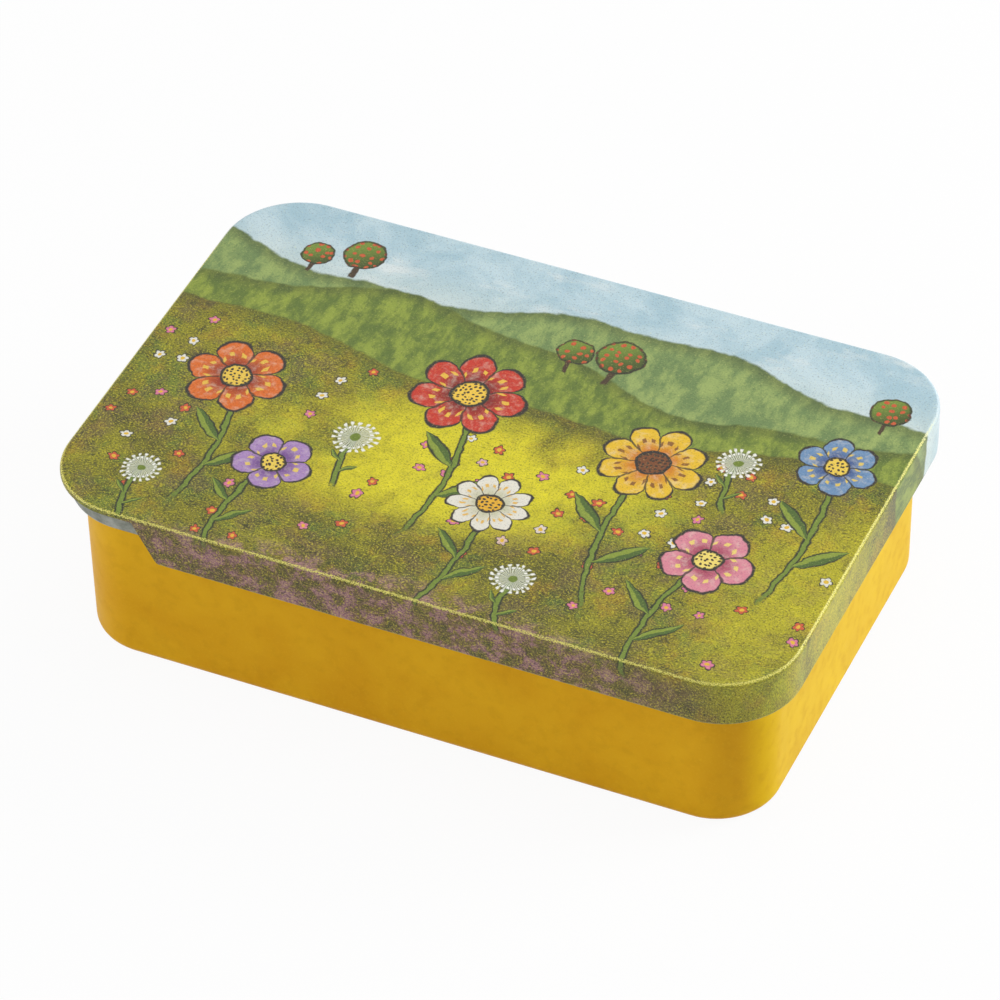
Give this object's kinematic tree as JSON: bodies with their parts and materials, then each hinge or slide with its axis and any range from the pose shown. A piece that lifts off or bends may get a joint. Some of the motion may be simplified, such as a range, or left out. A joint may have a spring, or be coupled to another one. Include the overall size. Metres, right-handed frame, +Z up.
{
  "type": "hinged tin box",
  "caption": "Small rectangular tin box with rounded corners: a drawn tub with a rolled rim and a hemmed lid that folds back on curled tabs, printed with a meadow.",
  "frame": {"origin": "middle of the base, on the surface that the closed box stands on", "axes": "+X along the box from the hinge end to the end that lifts, +Y across the box to the left of that, +Z up through the lid"},
  "size_m": [0.12, 0.08, 0.032],
  "materials": {
    "tub_enamel": "golden yellow coating on tinplate, satin; bare grey tinplate inside and on the rolled rim",
    "lid_print": "printed tinplate, satin varnish: olive and yellow meadow with a pale blue sky; bare grey tinplate inside"
  },
  "bodies": {
    "tub": {"tub": "tub_enamel"},
    "lid": {"lid": "lid_print"}
  },
  "joints": [
    {"name": "lid_hinge", "type": "hinge", "parent": "tub", "child": "lid", "pos_m": [-0.0573, 0, 0.0293], "axis": [0, -1, 0], "range_deg": [0, 120]}
  ]
}
